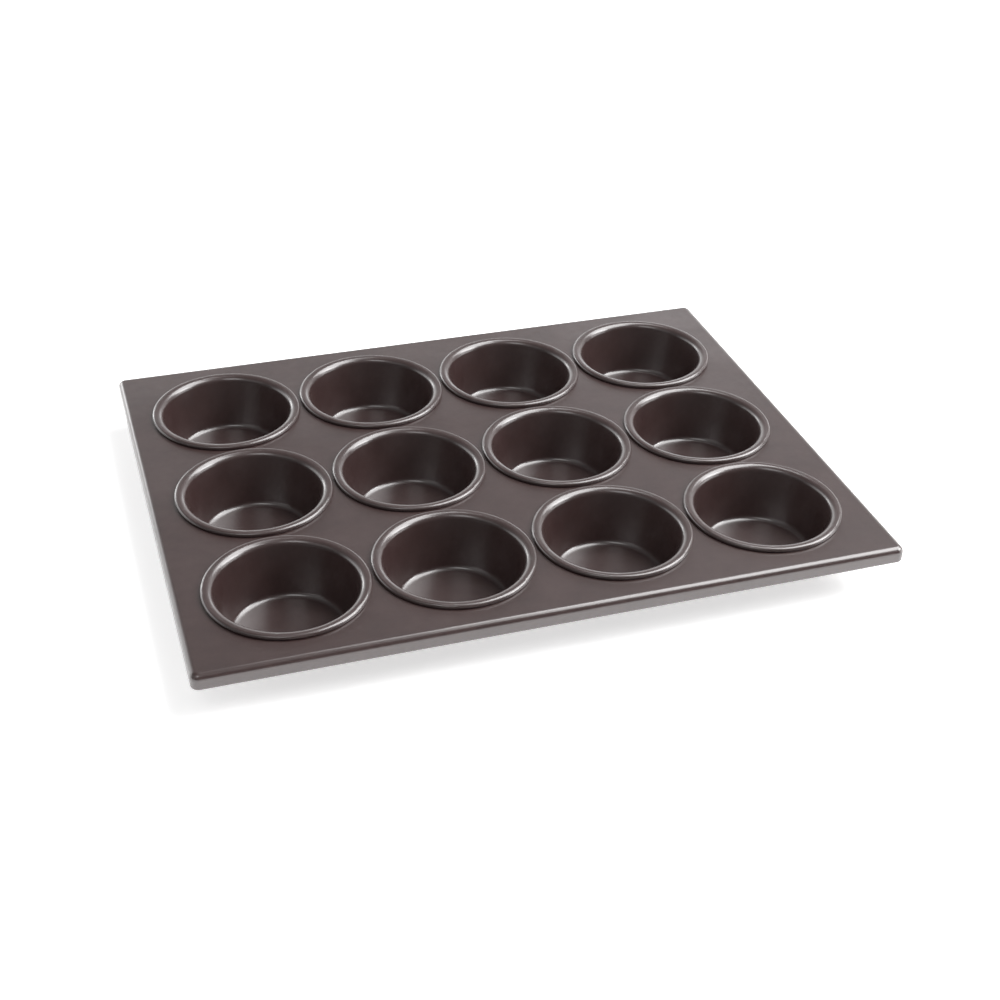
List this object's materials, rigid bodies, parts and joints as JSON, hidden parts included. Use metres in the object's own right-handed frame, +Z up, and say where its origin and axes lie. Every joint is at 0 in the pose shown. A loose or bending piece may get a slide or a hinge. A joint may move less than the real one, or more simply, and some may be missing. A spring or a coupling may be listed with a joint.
{
  "type": "muffin tin",
  "caption": "Flat rectangular muffin tin with separate tapered round cups seamed into a rimmed, non-stick coated deck sheet.",
  "frame": {"origin": "on the ground under the middle of the tin, level with the undersides of the cup floors", "axes": "+X along the long side, to the right seen from the front; +Y across the tin, towards the back; +Z up, out of the open cups"},
  "size_m": [0.355, 0.275, 0.03],
  "materials": {
    "nonstick_coating": "dark brown non-stick coating, satin",
    "steel_wire": "plain drawn wire"
  },
  "bodies": {
    "root": {"deck_sheet": "nonstick_coating", "rim_wire": "steel_wire", "cup_front_1": "nonstick_coating", "cup_front_2": "nonstick_coating", "cup_front_3": "nonstick_coating", "cup_front_4": "nonstick_coating", "cup_middle_1": "nonstick_coating", "cup_middle_2": "nonstick_coating", "cup_middle_3": "nonstick_coating", "cup_middle_4": "nonstick_coating", "cup_back_1": "nonstick_coating", "cup_back_2": "nonstick_coating", "cup_back_3": "nonstick_coating", "cup_back_4": "nonstick_coating"}
  },
  "joints": []
}
